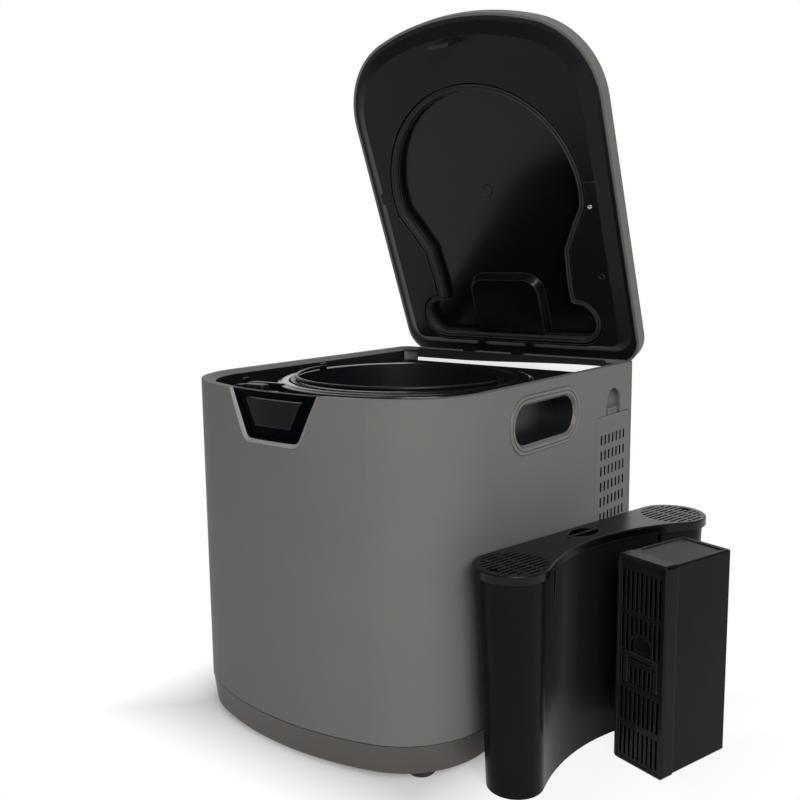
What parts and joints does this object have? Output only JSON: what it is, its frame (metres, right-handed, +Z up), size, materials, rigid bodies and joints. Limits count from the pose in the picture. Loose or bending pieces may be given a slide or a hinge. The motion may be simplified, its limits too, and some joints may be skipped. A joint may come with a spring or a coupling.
{
  "type": "food waste disposer",
  "caption": "Electric kitchen composter with hinged lid, lift-out bucket, stirrer drive, hand grips and louvred side door, with a saddle-shaped and a box-shaped carbon filter beside it.",
  "frame": {"origin": "on the floor, in the middle of the floor area that the machine, its open lid and the two filters take", "axes": "+Z up, the machine's front faces -Y, +X to the machine's right side as seen from its front looking along +Y, where the filters stand"},
  "size_m": [0.4214, 0.3807, 0.6152],
  "materials": {
    "bay_white": "satin",
    "board_green": "solder resist",
    "body_grey": "satin warm grey paint",
    "bucket_coated": "black non-stick coating",
    "carbon_fleece": "non-woven pouch",
    "case_white": "matt",
    "fan_black": "matt",
    "filter_black": "satin",
    "foam_dark": "open foam",
    "foot_rubber": "matt",
    "gear_nylon": "matt",
    "gloss_black": "gloss",
    "heater_alu": "turned",
    "motor_can": "zinc plated",
    "satin_black": "satin",
    "seal_rubber": "silicone",
    "skirt_grey": "fine satin",
    "steel": "plain",
    "stirrer_coated": "black non-stick coating",
    "strip_grey": "satin",
    "well_alu": "pressed sheet"
  },
  "bodies": {
    "cabinet": {"outer_shell": "body_grey", "base_tray": "skirt_grey", "rubber_feet": "foot_rubber", "top_deck": "gloss_black", "filter_bay": "bay_white", "bucket_well": "well_alu", "heater_plate": "heater_alu", "front_panel": "gloss_black", "latch_guide": "satin_black", "grip_cup_right": "satin_black", "grip_cup_left": "satin_black", "door_frame": "satin_black", "dust_pad": "foam_dark", "box_socket": "satin_black", "hinge_bracket": "strip_grey", "hinge_pins": "steel", "power_inlet": "satin_black", "gear_case": "case_white", "gear_cover": "case_white", "motor": "motor_can", "fan_housing": "fan_black", "control_board": "board_green"},
    "lid": {"lid_shell": "body_grey", "lid_liner": "satin_black", "lid_panel": "gloss_black", "lid_plug": "satin_black", "lid_seal": "seal_rubber", "striker": "satin_black"},
    "button": {"button_cap": "gloss_black", "latch_slider": "satin_black"},
    "side_door": {"side_door": "body_grey", "door_latch": "body_grey"},
    "bucket": {"bucket": "bucket_coated"},
    "bail": {"bucket_bail": "stirrer_coated"},
    "stirrer": {"stirrer": "stirrer_coated"},
    "drive": {"drive_coupler": "steel", "output_gear": "gear_nylon"},
    "idler": {"idler_gears": "gear_nylon"},
    "pinion": {"motor_pinion": "steel"},
    "fan": {"fan_impeller": "fan_black"},
    "saddle_filter": {"saddle_canister": "filter_black", "saddle_top": "filter_black", "saddle_pouch": "carbon_fleece"},
    "box_filter": {"box_case": "filter_black", "box_front": "filter_black"},
    "filter_handle": {"box_handle": "filter_black"}
  },
  "joints": [
    {"name": "lid_hinge", "type": "hinge", "parent": "cabinet", "child": "lid", "pos_m": [-0.0701, 0.1602, 0.2785], "axis": [-1, 0, 0], "range_deg": [-68.5, 0]},
    {"name": "button_press", "type": "slide", "parent": "cabinet", "child": "button", "axis": [0, 1, 0], "range_m": [0, 0.004], "stiffness_N_per_m": 400},
    {"name": "side_door_off", "type": "slide", "parent": "cabinet", "child": "side_door", "axis": [1, 0, 0], "range_m": [0, 0.035]},
    {"name": "bucket_lift", "type": "slide", "parent": "cabinet", "child": "bucket", "axis": [0, 0, 1], "range_m": [0, 0.165]},
    {"name": "bail_swing", "type": "hinge", "parent": "bucket", "child": "bail", "pos_m": [-0.0701, -0.0203, 0.2908], "axis": [-1, 0, 0], "range_deg": [0, 180]},
    {"name": "stirrer_spin", "type": "hinge", "parent": "bucket", "child": "stirrer", "pos_m": [-0.0701, -0.0203, 0.15], "axis": [0, 0, 1], "continuous": true},
    {"name": "drive_spin", "type": "hinge", "parent": "cabinet", "child": "drive", "pos_m": [-0.0701, -0.0203, 0.103], "axis": [0, 0, 1], "continuous": true},
    {"name": "idler_spin", "type": "hinge", "parent": "cabinet", "child": "idler", "pos_m": [-0.0176, -0.0203, 0.103], "axis": [0, 0, 1], "continuous": true},
    {"name": "pinion_spin", "type": "hinge", "parent": "cabinet", "child": "pinion", "pos_m": [-0.0176, -0.0623, 0.093], "axis": [0, 0, 1], "continuous": true},
    {"name": "fan_spin", "type": "hinge", "parent": "cabinet", "child": "fan", "pos_m": [-0.1851, 0.1077, 0.066], "axis": [1, 0, 0], "continuous": true},
    {"name": "saddle_filter_lift", "type": "slide", "parent": "cabinet", "child": "saddle_filter", "axis": [0, 0, 1], "range_m": [0, 0.2]},
    {"name": "box_filter_lift", "type": "slide", "parent": "cabinet", "child": "box_filter", "axis": [0, 0, 1], "range_m": [0, 0.2]},
    {"name": "filter_handle_swing", "type": "hinge", "parent": "box_filter", "child": "filter_handle", "pos_m": [0.16774, -0.03521, 0.0676], "axis": [0.9588, -0.284, 0], "range_deg": [0, 90]}
  ],
  "couplings": [
    {"joint": "drive_spin", "follows": "idler_spin", "ratio": -0.25},
    {"joint": "stirrer_spin", "follows": "idler_spin", "ratio": -0.25},
    {"joint": "pinion_spin", "follows": "idler_spin", "ratio": -3.6667}
  ]
}
